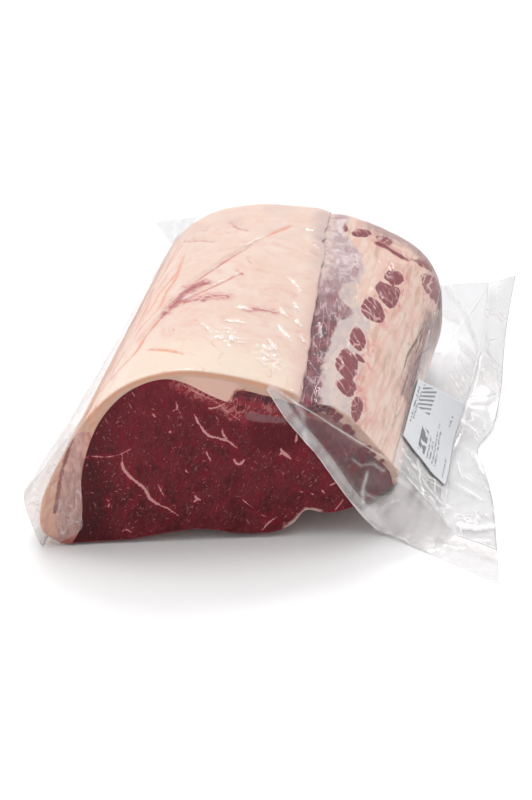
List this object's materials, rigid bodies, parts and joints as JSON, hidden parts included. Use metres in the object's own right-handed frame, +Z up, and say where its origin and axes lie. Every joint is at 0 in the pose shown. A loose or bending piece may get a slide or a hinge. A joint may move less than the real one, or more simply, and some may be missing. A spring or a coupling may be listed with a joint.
{
  "type": "raw beef striploin",
  "caption": "Raw boneless striploin with its fat cap and a flat cut face, lying in a clear vacuum bag that is cut open at the face and has a loose labelled flap on one side.",
  "frame": {"origin": "the surface that the loin lies on, under the middle of the loin", "axes": "+Z up; -Y out of the cut face, +Y back along the loin; +X towards the chine side with the loose flap"},
  "size_m": [0.2879, 0.3132, 0.1202],
  "materials": {
    "lean": "moist dark red lean meat with pale marbling",
    "fat": "smooth cream fat with faint pink streaks",
    "side_muscle": "mauve muscle under whitish membrane",
    "side_fat": "streaky pink cream fat with dark red ovals of muscle",
    "film": "clear glossy wrinkled film",
    "label": "smooth white paper under film"
  },
  "bodies": {
    "root": {"lean": "lean", "fat_cap": "fat", "side_muscle": "side_muscle", "side_fat": "side_fat", "bag": "film", "label": "label"}
  },
  "joints": []
}
